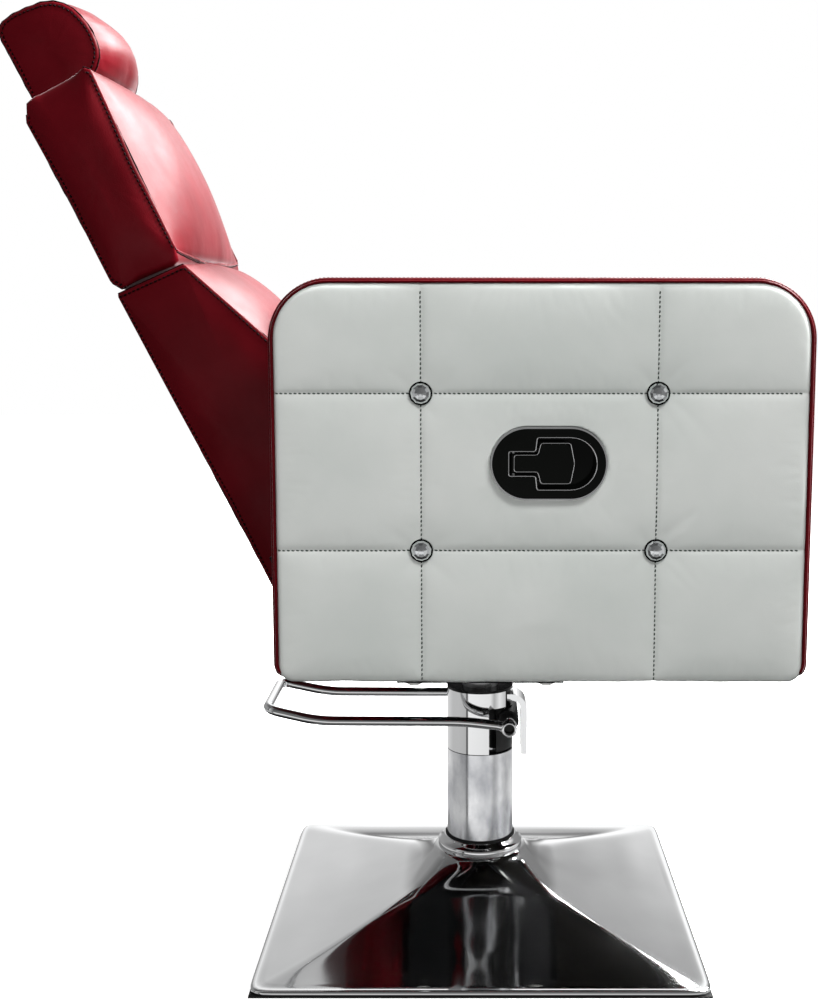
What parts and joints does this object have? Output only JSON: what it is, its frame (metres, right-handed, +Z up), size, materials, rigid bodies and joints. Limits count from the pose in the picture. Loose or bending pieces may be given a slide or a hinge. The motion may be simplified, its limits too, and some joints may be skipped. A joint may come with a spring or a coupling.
{
  "type": "barber chair",
  "caption": "Barber chair with a flared square base, a pump column with a U-shaped pedal, quilted arm boxes, a reclining back in two pads and a sliding headrest.",
  "frame": {"origin": "on the floor under the column's axis", "axes": "+X to the chair's front, +Y to the sitter's left, +Z up"},
  "size_m": [0.8838, 0.6708, 1.1091],
  "materials": {
    "chrome": "polished",
    "satin_steel": "satin",
    "zinc_bolts": "satin",
    "painted_steel": "satin",
    "black_casting": "satin",
    "black_rubber": "matte",
    "bronze": "satin",
    "black_gloss": "gloss",
    "red_pad": "satin",
    "red_cover": "satin",
    "red_board": "satin",
    "white_quilt": "satin",
    "arm_filling": "matte",
    "plywood": "matte"
  },
  "bodies": {
    "base": {"base_shell": "chrome", "base_edge_strip": "black_rubber", "ballast_plate": "painted_steel", "tube_flange": "painted_steel", "flange_bolts": "zinc_bolts", "outer_tube": "satin_steel", "collar_ring": "chrome", "collar_seal": "black_rubber", "guide_bush": "bronze", "wiper_seal": "black_rubber"},
    "ram": {"ram_tube": "chrome", "ram_piston": "black_casting", "swivel_bush": "bronze", "thrust_washer": "bronze"},
    "seat": {"head_shaft": "satin_steel", "head_casting": "black_casting", "head_cover": "chrome", "head_cap": "black_gloss", "pump_block": "black_casting", "pedal_axle": "satin_steel", "pedal_guard": "chrome", "mounting_plate": "painted_steel", "mounting_bolts": "zinc_bolts", "seat_frame": "painted_steel", "seat_board": "plywood", "seat_cushion": "red_pad", "arm_core_right": "arm_filling", "arm_core_left": "arm_filling", "arm_wrap_right": "red_cover", "arm_wrap_left": "red_cover", "arm_panel_right": "white_quilt", "arm_panel_left": "white_quilt", "tuft_buttons_right": "chrome", "tuft_buttons_left": "chrome", "arm_bolts": "zinc_bolts", "handle_bezel": "chrome", "handle_housing": "black_gloss", "handle_pin": "satin_steel", "hinge_brackets": "painted_steel", "hinge_pins": "satin_steel", "strut_cylinder": "painted_steel", "strut_bracket": "painted_steel"},
    "pedal": {"pedal_bar": "chrome"},
    "plunger": {"pump_plunger": "satin_steel"},
    "handle": {"handle_paddle": "black_gloss"},
    "backrest": {"hinge_plate_right": "painted_steel", "hinge_plate_left": "painted_steel", "hinge_bolts": "zinc_bolts", "back_lower_box": "red_board", "back_upper_box": "red_board", "back_bars": "painted_steel", "back_lower_pad": "red_pad", "back_upper_pad": "red_pad", "headrest_sockets": "black_gloss"},
    "strut": {"strut_rod": "satin_steel"},
    "headrest": {"headrest_posts": "chrome", "headrest_box": "red_board", "headrest_pad": "red_pad"}
  },
  "joints": [
    {"name": "lift", "type": "slide", "parent": "base", "child": "ram", "axis": [0, 0, 1], "range_m": [0, 0.12]},
    {"name": "swivel", "type": "hinge", "parent": "ram", "child": "seat", "pos_m": [0, 0, 0.25], "axis": [0, 0, 1], "continuous": true},
    {"name": "pedal_press", "type": "hinge", "parent": "seat", "child": "pedal", "pos_m": [0.0356, 0, 0.252], "axis": [0, -1, 0], "range_deg": [0, 25], "stiffness_Nm_per_rad": 10, "springref_deg": -17.19},
    {"name": "plunger_stroke", "type": "slide", "parent": "seat", "child": "plunger", "axis": [0, 0, -1], "range_m": [0, 0.0045]},
    {"name": "handle_pull", "type": "hinge", "parent": "seat", "child": "handle", "pos_m": [0.032, -0.328, 0.607], "axis": [0, 0, -1], "range_deg": [0, 30], "stiffness_Nm_per_rad": 0.5, "springref_deg": -11.46},
    {"name": "recline", "type": "hinge", "parent": "seat", "child": "backrest", "pos_m": [-0.154, 0, 0.445], "axis": [0, -1, 0], "range_deg": [-15, 35]},
    {"name": "strut_stroke", "type": "slide", "parent": "seat", "child": "strut", "axis": [1, 0, 0], "range_m": [-0.028, 0.065]},
    {"name": "headrest_slide", "type": "slide", "parent": "backrest", "child": "headrest", "axis": [-0.454, 0, 0.891], "range_m": [0, 0.09]}
  ],
  "couplings": [
    {"joint": "plunger_stroke", "follows": "pedal_press", "m_per_rad": 0.009167},
    {"joint": "strut_stroke", "follows": "recline", "m_per_rad": 0.105}
  ]
}
